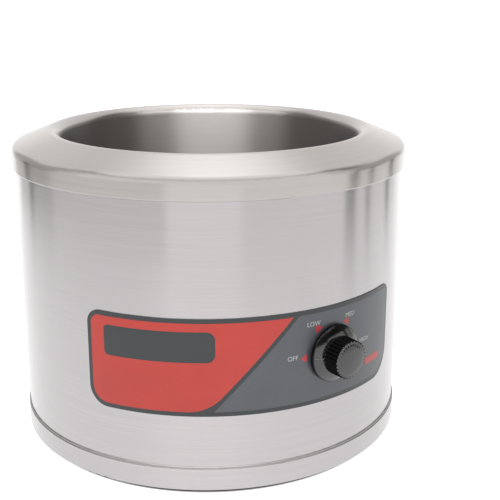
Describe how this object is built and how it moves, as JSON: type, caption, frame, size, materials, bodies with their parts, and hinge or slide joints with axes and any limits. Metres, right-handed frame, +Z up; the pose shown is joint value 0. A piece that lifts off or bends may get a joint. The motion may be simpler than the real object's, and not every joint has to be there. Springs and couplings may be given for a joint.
{
  "type": "countertop food warmer",
  "caption": "Round stainless countertop food warmer with an open heated well, sloped collar, curved red and grey control label and a black thermostat knob that turns.",
  "frame": {"origin": "on the counter, under the middle of the well", "axes": "+Z up along the well's axis, -Y towards the control label, +X to the user's right"},
  "size_m": [0.286, 0.3057, 0.224],
  "materials": {
    "stainless_well": "brushed round the axis",
    "stainless_shell": "brushed round the axis",
    "stainless_base": "brushed round the axis",
    "label_film": "printed film, satin",
    "black_phenolic": "moulded, semi-gloss",
    "foot_rubber": "matt",
    "plated_steel": "bright plated",
    "aluminised_sheet": "rolled",
    "mica": "matt",
    "brass_tab": "rolled",
    "copper_tube": "drawn",
    "glass_wool": "fibrous",
    "dark_moulding": "moulded, matt",
    "lead_cover": "woven glass sleeve"
  },
  "bodies": {
    "warmer": {"well_pot": "stainless_well", "body_shell": "stainless_shell", "base_pan": "stainless_base", "control_label": "label_film", "foot_front_left": "foot_rubber", "foot_front_right": "foot_rubber", "foot_rear_left": "foot_rubber", "foot_rear_right": "foot_rubber", "tie_stud": "plated_steel", "tie_washer": "plated_steel", "tie_nut": "plated_steel", "pressure_nut": "plated_steel", "thermostat_screws": "plated_steel", "bulb_clip": "plated_steel", "terminal_block_screws": "plated_steel", "earth_screw": "plated_steel", "earth_nut": "plated_steel", "pressure_plate": "aluminised_sheet", "thermostat_saddle": "aluminised_sheet", "heater_plate": "mica", "heater_tabs": "brass_tab", "thermostat_tabs": "brass_tab", "sensing_bulb": "copper_tube", "capillary_tube": "copper_tube", "insulation_disc": "glass_wool", "insulation_blanket": "glass_wool", "thermostat_body": "dark_moulding", "terminal_block": "dark_moulding", "cord_gland": "dark_moulding", "gland_locknut": "dark_moulding", "live_lead": "lead_cover", "load_lead": "lead_cover", "neutral_lead": "lead_cover", "earth_lead": "lead_cover"},
    "knob": {"control_knob": "black_phenolic", "thermostat_shaft": "plated_steel", "knob_spring": "plated_steel"}
  },
  "joints": [
    {"name": "knob_turn", "type": "hinge", "parent": "warmer", "child": "knob", "pos_m": [0.05101, -0.13091, 0.0915], "axis": [-0.363, 0.9318, 0], "range_deg": [0, 180]}
  ]
}
